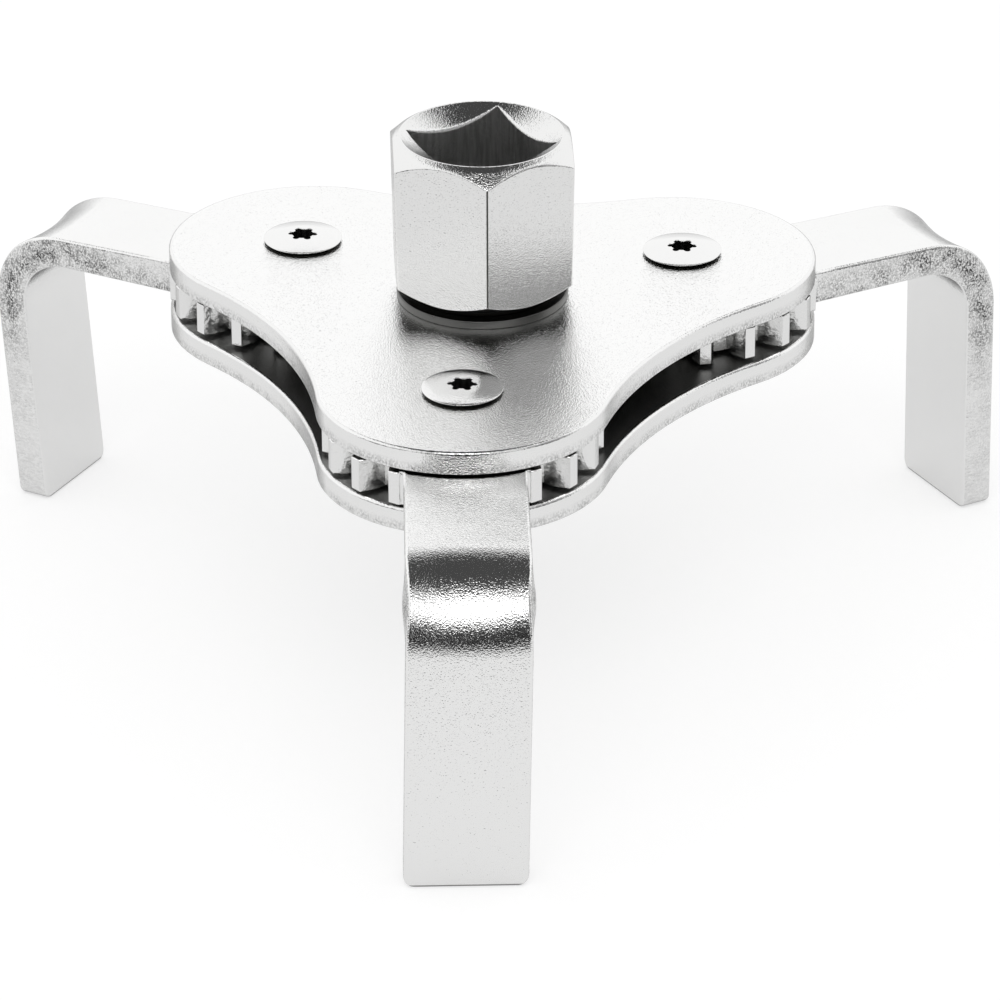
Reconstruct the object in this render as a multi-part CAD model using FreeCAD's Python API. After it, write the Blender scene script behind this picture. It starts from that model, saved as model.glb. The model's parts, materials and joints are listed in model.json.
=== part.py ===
import FreeCAD, Part
import math
import os

# Two-way three-jaw oil filter wrench. Millimetres.
# The hub axis is +Z, and z = 0 is the plane of the three jaw tips that the wrench stands on.
# The front lobe lies along -Y, the right lobe at 30 degrees and the left lobe at 150 degrees.

os.makedirs("parts", exist_ok=True)
V = FreeCAD.Vector
AXIS = V(0, 0, 1)
CENTRE = V(0, 0, 0)

# ---- Driving dimensions -------------------------------------------------------------------

# Gear train: one sun gear on the hub and one toothed sector on each arm.
gear_module = 1.6
sun_teeth = 15
arm_teeth = 18
pressure_angle = 14.5
arm_tooth_width = 2.60
backlash_width = 1.13
arm_addendum = 1.75
sun_addendum = 1.10
tip_to_root_clearance = 0.35

# Arms, bent from flat steel.
arm_width = 14.0
arm_thickness = 4.0
arm_reach = 40.4
arm_height = 37.5
bend_inner_radius = 6.0
foot_corner_radius = 2.2
left_leg_lean = -2.9
right_leg_lean = 0.8
front_leg_lean = 2.6
left_side_lean = -2.1
right_side_lean = 0.0
front_side_lean = -1.2

# Arm swings at rest, anticlockwise from straight out. The gear mesh sets one swing, and each arm
# has taken up a share of the mesh's play either way.
mesh_swing = 5.1
left_play_share = 1.0
right_play_share = -1.0
front_play_share = 0.7

# Plates.
plate_thickness = 2.8
lobe_offset = 25.3
lobe_radius = 17.0
waist_radius = 50.0
front_lobe_angle = -90.0
right_lobe_angle = 30.0
left_lobe_angle = 150.0

# Pivots.
sleeve_diameter = 9.0
screw_diameter = 5.0
screw_head_diameter = 9.4
screw_head_edge = 0.45
screw_head_rise = 0.60
screw_recess_circle_radius = 1.80
screw_recess_lobe_radius = 0.45
screw_recess_core_radius = 1.62
screw_recess_depth = 1.9
screw_tail = 0.6
nut_across_flats = 8.0
nut_height = 4.0
nut_corner_break = 0.35
thrust_washer_thickness = 0.4
thrust_washer_land = 3.0

# Hub.
hex_across_flats = 21.0
hex_foot_across_flats = 20.5
hex_height = 18.3
hex_angle = -82.0
hub_stand_off = 2.2
top_rim_radius = 9.7
top_shoulder_radius = 10.3
top_shoulder_depth = 0.35
top_chamfer_depth = 2.2
foot_rim_radius = 10.2
foot_chamfer_depth = 1.25
socket_square = 12.8
socket_depth = 15.5
socket_mouth_radius = 9.5
socket_mouth_half_angle = 62.0
shoulder_diameter = 17.4
neck_diameter = 16.0
flat_shaft_diameter = 14.6
flat_shaft_across_flats = 12.4
journal_diameter = 12.0
hub_washer_diameter = 18.8
hub_washer_thickness = 1.0
sun_thickness = 4.4
lower_washer_diameter = 20.0
lower_washer_thickness = 1.0
ring_thickness = 1.1
ring_width = 1.9
ring_groove_depth = 0.5
ring_opening = 5.0
shaft_end_beyond_ring = 1.2
shaft_end_chamfer = 0.5

# Fits and clearances.
running_clearance = 0.05
clearance_hole = 0.05
slip_fit = 0.02
washer_play = 0.05
end_play = 0.05
flank_clearance = 0.14
cutter_overrun = 1.0

# ---- Derived levels and radii ---------------------------------------------------------------

arm_pitch_radius = gear_module * arm_teeth / 2
sun_pitch_radius = gear_module * sun_teeth / 2
pivot_radius = arm_pitch_radius + sun_pitch_radius
arm_tip_radius = arm_pitch_radius + arm_addendum
sun_tip_radius = sun_pitch_radius + sun_addendum
arm_root_radius = pivot_radius - sun_tip_radius - tip_to_root_clearance
sun_root_radius = pivot_radius - arm_tip_radius - tip_to_root_clearance
circular_pitch = math.pi * gear_module
sun_tooth_width = circular_pitch - arm_tooth_width - backlash_width

arm_top = arm_height
arm_bottom = arm_top - arm_thickness
washer_space = thrust_washer_thickness + washer_play
upper_plate_bottom = arm_top + washer_space
upper_plate_top = upper_plate_bottom + plate_thickness
lower_plate_top = arm_bottom - washer_space
lower_plate_bottom = lower_plate_top - plate_thickness
plate_gap = upper_plate_bottom - lower_plate_top
gap_middle = (upper_plate_bottom + lower_plate_top) / 2

arm_bore_radius = sleeve_diameter / 2 + running_clearance
screw_hole_radius = screw_diameter / 2 + clearance_hole
washer_outer_radius = arm_bore_radius + thrust_washer_land

hex_bottom = upper_plate_top + hub_stand_off
hex_top = hex_bottom + hex_height
ring_groove_top = lower_plate_bottom - end_play - lower_washer_thickness - end_play
ring_groove_bottom = ring_groove_top - ring_thickness
shaft_end = ring_groove_bottom - shaft_end_beyond_ring

lobe_angles = {"front": front_lobe_angle, "right": right_lobe_angle, "left": left_lobe_angle}
leg_leans = {"front": front_leg_lean, "right": right_leg_lean, "left": left_leg_lean}
side_leans = {"front": front_side_lean, "right": right_side_lean, "left": left_side_lean}
play_shares = {"front": front_play_share, "right": right_play_share, "left": left_play_share}
play_swing = math.degrees((backlash_width / 2 - flank_clearance) / arm_pitch_radius)


# ---- Shared helpers ---------------------------------------------------------------------------

def polar(radius, angle, z=0.0):
    """Point at a radius and an angle in degrees about the hub axis."""
    return V(radius * math.cos(math.radians(angle)), radius * math.sin(math.radians(angle)), z)


def cylinder(radius, bottom, top, at=CENTRE):
    return Part.makeCylinder(radius, top - bottom, V(at.x, at.y, bottom))


def tube(outer_radius, inner_radius, bottom, top, at=CENTRE):
    return cylinder(outer_radius, bottom, top, at).cut(cylinder(inner_radius, bottom, top, at))


def arc(first, middle, last):
    return Part.Arc(first, middle, last).toShape()


def line(first, last):
    return Part.LineSegment(first, last).toShape()


def prism(edges, height):
    """Solid between the closed outline and the same outline moved up by the height."""
    return Part.Face(Part.Wire(edges)).extrude(V(0, 0, height))


def corner_radius(across_flats, sides):
    return across_flats / 2 / math.cos(math.pi / sides)


def polygon_prism(across_flats, corner_angle, sides, bottom, top):
    radius = corner_radius(across_flats, sides)
    corners = [polar(radius, corner_angle + 360.0 * k / sides, bottom) for k in range(sides)]
    outline = Part.makePolygon(corners + corners[:1])
    return Part.Face(outline).extrude(V(0, 0, top - bottom))


def turned(points, at=CENTRE):
    """Solid turned about Z from a closed outline of (radius, z) points."""
    corners = [V(radius, 0, z) for radius, z in points]
    face = Part.Face(Part.makePolygon(corners + corners[:1]))
    solid = face.revolve(CENTRE, AXIS, 360)
    solid.translate(V(at.x, at.y, 0))
    return solid


def pivot(lobe):
    return polar(pivot_radius, lobe_angles[lobe])


def write(shape, node):
    shape = shape.removeSplitter()
    solids = shape.Solids
    assert len(solids) == 1 and solids[0].isValid(), node
    solids[0].exportStep(f"parts/{node}.step")


# ---- Gears --------------------------------------------------------------------------------------

def involute(angle):
    return math.tan(angle) - angle


def tooth_half_angle(radius, pitch_radius, tooth_width):
    """Half of a tooth's angle in degrees at a radius; flanks are radial below the base circle."""
    at_pitch = math.radians(pressure_angle)
    base_radius = pitch_radius * math.cos(at_pitch)
    local = math.acos(base_radius / max(radius, base_radius))
    return math.degrees(tooth_width / 2 / pitch_radius + involute(at_pitch) - involute(local))


def gear_blank(teeth, pitch_radius, root_radius, tip_radius, tooth_width, gap_angle, thickness):
    """External gear standing on z = 0, with the middle of a tooth gap at gap_angle."""
    step = 360.0 / teeth
    middle_radius = (root_radius + tip_radius) / 2
    root_half = tooth_half_angle(root_radius, pitch_radius, tooth_width)
    middle_half = tooth_half_angle(middle_radius, pitch_radius, tooth_width)
    tip_half = tooth_half_angle(tip_radius, pitch_radius, tooth_width)
    edges = []
    for k in range(teeth):
        gap = gap_angle + step * k
        tooth = gap + step / 2
        gap_end = tooth - root_half
        gap_start = gap - step / 2 + root_half
        tip_start = polar(tip_radius, tooth - tip_half)
        tip_end = polar(tip_radius, tooth + tip_half)
        edges.append(arc(polar(root_radius, gap_start), polar(root_radius, gap), polar(root_radius, gap_end)))
        edges.append(arc(polar(root_radius, gap_end), polar(middle_radius, tooth - middle_half), tip_start))
        edges.append(arc(tip_start, polar(tip_radius, tooth), tip_end))
        edges.append(arc(tip_end, polar(middle_radius, tooth + middle_half), polar(root_radius, tooth + root_half)))
    return prism(edges, thickness)


# ---- Plates ---------------------------------------------------------------------------------------

def plate(bottom, hub_hole_radius):
    """Three-lobed plate: lobe arcs joined by tangent hollow waists."""
    half_span = lobe_offset * math.sin(math.radians(60))
    waist_centre = lobe_offset / 2 + math.sqrt((lobe_radius + waist_radius) ** 2 - half_span ** 2)
    edges = []
    for angle in lobe_angles.values():
        lobe = polar(lobe_offset, angle, bottom)
        before = polar(waist_centre, angle - 60, bottom)
        after = polar(waist_centre, angle + 60, bottom)
        next_lobe = polar(lobe_offset, angle + 120, bottom)
        start = lobe + (before - lobe).normalize() * lobe_radius
        end = lobe + (after - lobe).normalize() * lobe_radius
        next_start = next_lobe + (after - next_lobe).normalize() * lobe_radius
        edges.append(arc(start, polar(lobe_offset + lobe_radius, angle, bottom), end))
        edges.append(arc(end, polar(waist_centre - waist_radius, angle + 60, bottom), next_start))
    solid = prism(edges, plate_thickness)
    solid = solid.cut(cylinder(hub_hole_radius, bottom, bottom + plate_thickness))
    for lobe in lobe_angles:
        hole = cylinder(screw_hole_radius, bottom, bottom + plate_thickness, pivot(lobe))
        solid = solid.cut(hole)
    return solid


# ---- Arms -------------------------------------------------------------------------------------------

def bent_strip(lean):
    """Bar along +X from the pivot at the origin, bent down into the leg, cut off level at z = 0.

    The reach is to where the outer faces of the bar and the leg would meet, and the strip is wide
    enough to be trimmed to the leg's outline.
    """
    outer_radius = bend_inner_radius + arm_thickness
    lean_angle = math.radians(lean)
    bend_x = arm_reach + outer_radius * (math.tan(lean_angle) - 1 / math.cos(lean_angle))
    bend_centre = V(bend_x, 0, arm_top - outer_radius)
    middle_angle = math.radians(45 + lean / 2)
    outward = V(math.cos(lean_angle), 0, math.sin(lean_angle))
    halfway = V(math.cos(middle_angle), 0, math.sin(middle_angle))
    down = V(math.tan(lean_angle), 0, -1)
    bar_start = arm_bore_radius
    outer_end = bend_centre + outward * outer_radius
    inner_end = bend_centre + outward * bend_inner_radius
    outer_foot = outer_end + down * outer_end.z
    inner_foot = inner_end + down * inner_end.z
    top_bend = V(bend_centre.x, 0, arm_top)
    under_bend = V(bend_centre.x, 0, arm_bottom)
    edges = [
        line(V(bar_start, 0, arm_bottom), V(bar_start, 0, arm_top)),
        line(V(bar_start, 0, arm_top), top_bend),
        arc(top_bend, bend_centre + halfway * outer_radius, outer_end),
        line(outer_end, outer_foot),
        line(outer_foot, inner_foot),
        line(inner_foot, inner_end),
        arc(inner_end, bend_centre + halfway * bend_inner_radius, under_bend),
        line(under_bend, V(bar_start, 0, arm_bottom)),
    ]
    side = Part.Face(Part.Wire(edges))
    side.translate(V(0, -arm_width, 0))
    return side.extrude(V(0, 2 * arm_width, 0))


def foot_outline(side_lean):
    """Block of the bar's width that leans sideways below the bar and has rounded foot corners."""
    half_width = arm_width / 2
    shift = arm_bottom * math.tan(math.radians(side_lean))
    corners = [
        V(0, -half_width, arm_top),
        V(0, half_width, arm_top),
        V(0, half_width, arm_bottom),
        V(0, half_width + shift, 0),
        V(0, -half_width + shift, 0),
        V(0, -half_width, arm_bottom),
    ]
    block_length = 2 * arm_reach
    block = Part.Face(Part.makePolygon(corners + corners[:1])).extrude(V(block_length, 0, 0))
    foot_edges = []
    for edge in block.Edges:
        low = edge.BoundBox.ZMax < foot_corner_radius
        along_x = edge.BoundBox.XLength > block_length / 2
        if low and along_x:
            foot_edges.append(edge)
    return block.makeFillet(foot_corner_radius, foot_edges)


def tooth_shoulder():
    """Widening of the bar that closes the notch between its side and the first free tooth."""
    first_tooth = 1.5 * 360.0 / arm_teeth
    tip_half = tooth_half_angle(arm_tip_radius, arm_pitch_radius, arm_tooth_width)
    corner = polar(arm_tip_radius, first_tooth - tip_half)
    return Part.makeBox(corner.x, 2 * corner.y, arm_thickness, V(0, -corner.y, arm_bottom))


def arm(lobe):
    gear = gear_blank(arm_teeth, arm_pitch_radius, arm_root_radius, arm_tip_radius,
                      arm_tooth_width, 0.0, arm_thickness)
    gear.translate(V(0, 0, arm_bottom))
    strip = bent_strip(leg_leans[lobe]).common(foot_outline(side_leans[lobe]))
    solid = gear.fuse(tooth_shoulder()).fuse(strip)
    solid = solid.cut(cylinder(arm_bore_radius, arm_bottom, arm_top))
    swing = mesh_swing + play_shares[lobe] * play_swing
    solid.rotate(CENTRE, AXIS, lobe_angles[lobe] + swing)
    solid.translate(pivot(lobe))
    return solid


# ---- Pivots -------------------------------------------------------------------------------------------

def pivot_screw(lobe):
    """Low-domed flange screw with a six-lobe recess, passing through both plates."""
    at = pivot(lobe)
    shank_radius = screw_diameter / 2
    head_radius = screw_head_diameter / 2
    head_top = upper_plate_top + screw_head_edge + screw_head_rise
    tail = lower_plate_bottom - nut_height - screw_tail
    dome_height = screw_head_rise
    dome_radius = (head_radius ** 2 + dome_height ** 2) / (2 * dome_height)
    dome_centre = V(at.x, at.y, head_top - dome_radius)
    head = cylinder(head_radius, upper_plate_top, head_top, at)
    head = head.common(Part.makeSphere(dome_radius, dome_centre))
    screw = head.fuse(cylinder(shank_radius, tail, upper_plate_top, at))
    recess_floor = head_top - screw_recess_depth
    screw = screw.cut(cylinder(screw_recess_core_radius, recess_floor, head_top, at))
    for k in range(6):
        lobe_at = at + polar(screw_recess_circle_radius, 60.0 * k)
        screw = screw.cut(cylinder(screw_recess_lobe_radius, recess_floor, head_top, lobe_at))
    return screw


def pivot_sleeve(lobe):
    return tube(sleeve_diameter / 2, screw_hole_radius, lower_plate_top, upper_plate_bottom, pivot(lobe))


def thrust_washer(lobe, bottom):
    top = bottom + thrust_washer_thickness
    return tube(washer_outer_radius, arm_bore_radius, bottom, top, pivot(lobe))


def pivot_nut(lobe):
    """Hexagon nut under the lower plate, both ends turned down at the corners."""
    at = pivot(lobe)
    bottom = lower_plate_bottom - nut_height
    top = lower_plate_bottom
    reach = corner_radius(nut_across_flats, 6)
    face_radius = reach - 2 * nut_corner_break
    envelope = turned([
        (0, bottom),
        (face_radius, bottom),
        (reach, bottom + nut_corner_break),
        (reach, top - nut_corner_break),
        (face_radius, top),
        (0, top),
    ])
    nut = polygon_prism(nut_across_flats, 0.0, 6, bottom, top).common(envelope)
    nut.translate(at)
    return nut.cut(cylinder(screw_diameter / 2 + slip_fit, bottom, top, at))


# ---- Hub ------------------------------------------------------------------------------------------------

def flatted(solid, across_flats, bottom, top):
    """Cuts two parallel flats square to X."""
    size = 2 * hex_across_flats
    for side in (-1, 1):
        corner_x = across_flats / 2 if side > 0 else -across_flats / 2 - size
        solid = solid.cut(Part.makeBox(size, size, top - bottom, V(corner_x, -size / 2, bottom)))
    return solid


def hexagon():
    """Forged hexagon with slight draft, its top crowned and chamfered, and its foot chamfered."""
    draft_solid = Part.makeLoft([
        hexagon_wire(hex_foot_across_flats, hex_bottom),
        hexagon_wire(hex_across_flats, hex_top),
    ], True, True)
    shoulder = hex_top - top_shoulder_depth
    top_corner = corner_radius(hex_across_flats, 6)
    foot_corner = corner_radius(hex_foot_across_flats, 6)
    top_slope = (top_corner - top_shoulder_radius) / (top_chamfer_depth - top_shoulder_depth)
    foot_slope = (foot_corner - foot_rim_radius) / foot_chamfer_depth
    reach = top_corner + cutter_overrun
    envelope = turned([
        (0, hex_bottom),
        (foot_rim_radius, hex_bottom),
        (reach, hex_bottom + (reach - foot_rim_radius) / foot_slope),
        (reach, shoulder - (reach - top_shoulder_radius) / top_slope),
        (top_shoulder_radius, shoulder),
        (top_rim_radius, hex_top),
        (0, hex_top),
    ])
    return draft_solid.common(envelope)


def hexagon_wire(across_flats, z):
    radius = corner_radius(across_flats, 6)
    corners = [polar(radius, hex_angle + 60 * k, z) for k in range(6)]
    return Part.makePolygon(corners + corners[:1])


def square_socket():
    """Square drive hole with a wide conical mouth."""
    floor = hex_top - socket_depth
    corner_angle = hex_angle + 120 + 45
    hole = polygon_prism(socket_square, corner_angle, 4, floor, hex_top + cutter_overrun)
    mouth_depth = socket_mouth_radius / math.tan(math.radians(socket_mouth_half_angle))
    over_radius = socket_mouth_radius * (1 + cutter_overrun / mouth_depth)
    mouth = turned([
        (0, hex_top - mouth_depth),
        (over_radius, hex_top + cutter_overrun),
        (0, hex_top + cutter_overrun),
    ])
    return hole.fuse(mouth)


def drive_hub():
    shoulder_bottom = upper_plate_top + hub_washer_thickness + end_play
    hub = hexagon()
    hub = hub.fuse(cylinder(shoulder_diameter / 2, shoulder_bottom, hex_bottom))
    hub = hub.fuse(cylinder(neck_diameter / 2, upper_plate_bottom, shoulder_bottom))
    flat_shaft = cylinder(flat_shaft_diameter / 2, lower_plate_top, upper_plate_bottom)
    hub = hub.fuse(flatted(flat_shaft, flat_shaft_across_flats, lower_plate_top, upper_plate_bottom))
    journal_radius = journal_diameter / 2
    journal = turned([
        (0, shaft_end),
        (journal_radius - shaft_end_chamfer, shaft_end),
        (journal_radius, shaft_end + shaft_end_chamfer),
        (journal_radius, ring_groove_bottom),
        (journal_radius - ring_groove_depth, ring_groove_bottom),
        (journal_radius - ring_groove_depth, ring_groove_top),
        (journal_radius, ring_groove_top),
        (journal_radius, lower_plate_top),
        (0, lower_plate_top),
    ])
    return hub.fuse(journal).cut(square_socket())


def sun_gear():
    """Sun gear with its teeth set to mesh with the arms in their rest position."""
    bottom = gap_middle - sun_thickness / 2
    turn_ratio = arm_teeth / sun_teeth
    tooth_angle = lobe_angles["right"] - (mesh_swing - 180.0) * turn_ratio
    gap_angle = tooth_angle + 180.0 / sun_teeth
    gear = gear_blank(sun_teeth, sun_pitch_radius, sun_root_radius, sun_tip_radius,
                      sun_tooth_width, gap_angle, sun_thickness)
    gear.translate(V(0, 0, bottom))
    top = bottom + sun_thickness
    bore = cylinder(flat_shaft_diameter / 2 + slip_fit, bottom, top)
    bore = flatted(bore, flat_shaft_across_flats + 2 * slip_fit, bottom, top)
    return gear.cut(bore)


def hub_washer():
    top = upper_plate_top + hub_washer_thickness
    return tube(hub_washer_diameter / 2, neck_diameter / 2 + clearance_hole, upper_plate_top, top)


def lower_washer():
    top = lower_plate_bottom - end_play
    bottom = top - lower_washer_thickness
    return tube(lower_washer_diameter / 2, journal_diameter / 2 + clearance_hole, bottom, top)


def retaining_ring():
    """Open spring ring seated in the groove at the hub's lower end."""
    inner_radius = journal_diameter / 2 - ring_groove_depth + slip_fit
    outer_radius = inner_radius + ring_width
    bottom = ring_groove_bottom + slip_fit
    top = ring_groove_top - slip_fit
    ring = tube(outer_radius, inner_radius, bottom, top)
    slot = Part.makeBox(2 * outer_radius, ring_opening, top - bottom, V(0, -ring_opening / 2, bottom))
    slot.rotate(CENTRE, AXIS, hex_angle)
    return ring.cut(slot)


# ---- Build ------------------------------------------------------------------------------------------------

write(plate(upper_plate_bottom, neck_diameter / 2 + running_clearance), "top_plate")
write(plate(lower_plate_bottom, journal_diameter / 2 + running_clearance), "bottom_plate")
write(drive_hub(), "drive_hub")
write(sun_gear(), "sun_gear")
write(hub_washer(), "hub_washer")
write(lower_washer(), "lower_washer")
write(retaining_ring(), "retaining_ring")

for lobe_name in lobe_angles:
    write(arm(lobe_name), f"{lobe_name}_arm")
    write(pivot_screw(lobe_name), f"{lobe_name}_pivot_screw")
    write(pivot_sleeve(lobe_name), f"{lobe_name}_pivot_sleeve")
    write(pivot_nut(lobe_name), f"{lobe_name}_pivot_nut")
    write(thrust_washer(lobe_name, upper_plate_bottom - thrust_washer_thickness), f"{lobe_name}_upper_washer")
    write(thrust_washer(lobe_name, lower_plate_top), f"{lobe_name}_lower_washer")
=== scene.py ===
import bpy, bmesh, json, math
from mathutils import Matrix, Vector
from mathutils.geometry import tessellate_polygon


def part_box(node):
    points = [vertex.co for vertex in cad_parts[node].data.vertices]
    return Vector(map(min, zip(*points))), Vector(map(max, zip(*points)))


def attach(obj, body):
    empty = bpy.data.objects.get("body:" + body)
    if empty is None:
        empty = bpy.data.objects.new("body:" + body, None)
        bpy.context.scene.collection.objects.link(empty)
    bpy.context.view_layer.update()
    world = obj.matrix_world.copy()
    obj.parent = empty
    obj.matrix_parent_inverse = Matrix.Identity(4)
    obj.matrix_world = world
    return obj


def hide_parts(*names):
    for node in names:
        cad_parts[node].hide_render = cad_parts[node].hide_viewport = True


# A self-gripping oil filter wrench: two lobed plates carry three geared jaw arms on pivot screws,
# and a drive hub turns a sun gear between the plates that swings all three jaws together.
# Metres. The hub axis is +Z, and z = 0 is the floor under the jaw tips.

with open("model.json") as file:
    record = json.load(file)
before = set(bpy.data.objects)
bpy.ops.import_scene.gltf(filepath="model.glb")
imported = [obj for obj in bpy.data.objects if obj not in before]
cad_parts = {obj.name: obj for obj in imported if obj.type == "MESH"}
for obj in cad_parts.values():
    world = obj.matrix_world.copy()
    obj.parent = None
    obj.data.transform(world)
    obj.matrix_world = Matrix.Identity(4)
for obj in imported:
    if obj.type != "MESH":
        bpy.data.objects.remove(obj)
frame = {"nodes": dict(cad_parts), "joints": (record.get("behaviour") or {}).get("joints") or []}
nodes = frame["nodes"]
joints = {joint["name"]: joint for joint in frame["joints"]}
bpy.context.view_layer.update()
mm = 0.001


# ---- Camera ------------------------------------------------------------------------------------
# A long lens 0.7 metres away, looking down at 25 degrees from in front and slightly to the right
# of the front jaw.

camera_data = bpy.data.cameras.new("camera")
camera_data.lens = 212.3
camera_data.sensor_width = 36.0
camera_data.clip_start = 0.01
camera_data.clip_end = 20.0
camera = bpy.data.objects.new("camera", camera_data)
bpy.context.scene.collection.objects.link(camera)
camera_azimuth = math.radians(5.113)
camera_elevation = math.radians(25.09)
camera_distance = 697.4 * mm
plate_centre = Vector((0.0, 0.0, 40.75 * mm))
aim = Vector((2.85, -10.18, 18.56)) * mm
camera.location = plate_centre + camera_distance * Vector((
    math.cos(camera_elevation) * math.sin(camera_azimuth),
    -math.cos(camera_elevation) * math.cos(camera_azimuth),
    math.sin(camera_elevation),
))
facing = (aim - camera.location).to_track_quat("-Z", "Y").to_matrix().to_4x4()
roll = Matrix.Rotation(math.radians(-0.245), 4, "Z")
camera.matrix_world = Matrix.Translation(camera.location) @ facing @ roll
bpy.context.scene.camera = camera
bpy.context.scene.view_settings.view_transform = "Standard"


# ---- Studio: floor, sky and lamp ----------------------------------------------------------------
# White paper under the tool and a white sky round it, one broad soft lamp in front, and dark and
# pale screens over and beside the tool that only reflections see, so that bright metal has shape.

sky_on_matt = 0.85
paper_tone = 0.45
paper_glow_seen = 0.60
paper_glow_mirrored = 0.38

world = bpy.data.worlds.new("white_studio")
bpy.context.scene.world = world
world.use_nodes = True
sky = world.node_tree
sky_background = sky.nodes["Background"]
sky_background.inputs["Color"].default_value = (1.0, 1.0, 1.0, 1.0)
sky_path = sky.nodes.new("ShaderNodeLightPath")
seen_or_reflected = sky.nodes.new("ShaderNodeMath")
seen_or_reflected.operation = "MAXIMUM"
sky.links.new(sky_path.outputs["Is Camera Ray"], seen_or_reflected.inputs[0])
sky.links.new(sky_path.outputs["Is Glossy Ray"], seen_or_reflected.inputs[1])
sky_strength = sky.nodes.new("ShaderNodeMapRange")
sky_strength.inputs["To Min"].default_value = sky_on_matt
sky_strength.inputs["To Max"].default_value = 1.0
sky.links.new(seen_or_reflected.outputs[0], sky_strength.inputs["Value"])
sky.links.new(sky_strength.outputs["Result"], sky_background.inputs["Strength"])


def grey(tone):
    """A colour without hue, fully opaque."""
    return (tone, tone, tone, 1.0)


def stage_sheet(name, centre, size, turn, material):
    """A flat sheet that belongs to the studio and not to the tool."""
    sheet_mesh = bpy.data.meshes.new(name)
    half_x, half_y = size[0] / 2, size[1] / 2
    corners = [(-half_x, -half_y, 0), (half_x, -half_y, 0), (half_x, half_y, 0), (-half_x, half_y, 0)]
    sheet_mesh.from_pydata(corners, [], [(0, 1, 2, 3)])
    sheet_mesh.transform(Matrix.Translation(centre) @ turn)
    sheet_mesh.materials.append(material)
    sheet = bpy.data.objects.new(name, sheet_mesh)
    bpy.context.scene.collection.objects.link(sheet)
    return sheet


paper = bpy.data.materials.new("white_paper")
paper.use_nodes = True
paper_nodes, paper_links = paper.node_tree.nodes, paper.node_tree.links
paper_shader = paper_nodes["Principled BSDF"]
paper_shader.inputs["Base Color"].default_value = grey(paper_tone)
paper_shader.inputs["Roughness"].default_value = 0.9
paper_shader.inputs["Specular IOR Level"].default_value = 0.0
paper_shader.inputs["Emission Color"].default_value = grey(1.0)
paper_path = paper_nodes.new("ShaderNodeLightPath")
seen_glow = paper_nodes.new("ShaderNodeMath")
seen_glow.operation = "MULTIPLY"
seen_glow.inputs[1].default_value = paper_glow_seen
reflected_glow = paper_nodes.new("ShaderNodeMath")
reflected_glow.operation = "MULTIPLY_ADD"
reflected_glow.inputs[1].default_value = paper_glow_mirrored
paper_links.new(paper_path.outputs["Is Camera Ray"], seen_glow.inputs[0])
paper_links.new(paper_path.outputs["Is Glossy Ray"], reflected_glow.inputs[0])
paper_links.new(seen_glow.outputs[0], reflected_glow.inputs[2])
paper_links.new(reflected_glow.outputs[0], paper_shader.inputs["Emission Strength"])
stage_sheet("floor", Vector((0, 0, -0.02 * mm)), (6.0, 6.0), Matrix.Identity(4), paper)


def screen(name, shade, centre, size, faces_tool=True):
    """A screen that only reflections see, square on to the tool or else lying level."""
    material = bpy.data.materials.new(name)
    material.use_nodes = True
    shader = material.node_tree.nodes["Principled BSDF"]
    shader.inputs["Base Color"].default_value = grey(0.0)
    shader.inputs["Specular IOR Level"].default_value = 0.0
    shader.inputs["Emission Color"].default_value = grey(shade)
    shader.inputs["Emission Strength"].default_value = 1.0
    turn = Matrix.Identity(4)
    if faces_tool:
        turn = (plate_centre - centre).to_track_quat("Z", "Y").to_matrix().to_4x4()
    sheet = stage_sheet(name, centre, size, turn, material)
    sheet.visible_camera = False
    sheet.visible_diffuse = False
    sheet.visible_shadow = False
    sheet.visible_transmission = False


def around(azimuth, elevation, distance):
    """A place about the tool; the azimuth counts from the camera's own side, to its right."""
    turn = camera_azimuth + math.radians(azimuth)
    level = math.radians(elevation)
    return plate_centre + distance * Vector((
        math.cos(level) * math.sin(turn), -math.cos(level) * math.cos(turn), math.sin(level)))


# Each with its shade, its centre, and its width and height in metres.
screen("ceiling_screen", 0.06, Vector((0.0, 0.085, 0.84)), (0.80, 1.09), faces_tool=False)
screen("right_screen", 0.32, around(68, 26, 1.0), (0.80, 0.80))
screen("left_screen", 0.95, around(-56, 26, 1.0), (0.75, 0.80))
screen("right_pillar", 0.70, around(34, 33, 0.8), (0.36, 0.80))
screen("left_pillar", 0.70, around(-32, 33, 0.8), (0.30, 0.80))
screen("camera_screen", 0.05, around(-3, 13, 0.60), (0.42, 0.36))
screen("front_low_screen", 0.02, Vector((0.02, -0.24, 0.034)), (0.26, 0.066))
screen("right_low_screen", 0.02, around(57, 0, 0.30), (0.20, 0.076))
screen("left_low_screen", 0.02, around(-57, 0, 0.30), (0.20, 0.076))

lamp_data = bpy.data.lights.new("soft_lamp", "AREA")
lamp_data.shape = "RECTANGLE"
lamp_data.size = 0.75
lamp_data.size_y = 0.44
lamp_data.energy = 1.6
lamp = bpy.data.objects.new("soft_lamp", lamp_data)
bpy.context.scene.collection.objects.link(lamp)
lamp.location = around(0, 47, 0.95)
lamp.rotation_euler = (plate_centre - lamp.location).to_track_quat("-Z", "Y").to_euler()


# ---- Plates -------------------------------------------------------------------------------------
# Two three-lobed plates blanked from 2.8 mm steel and plated with satin nickel. Blanking leaves
# the upper edge rolled over, a smooth burnished band below it and a coarser broken band at the
# foot of the wall.

def join_nodes(tree, *pairs):
    for source, target in pairs:
        tree.links.new(source, target)


def noise(tree, size, detail):
    """A noise texture with features of about the given size."""
    texture = tree.nodes.new("ShaderNodeTexNoise")
    texture.inputs["Scale"].default_value = 1.0 / size
    texture.inputs["Detail"].default_value = detail
    return texture


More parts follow.
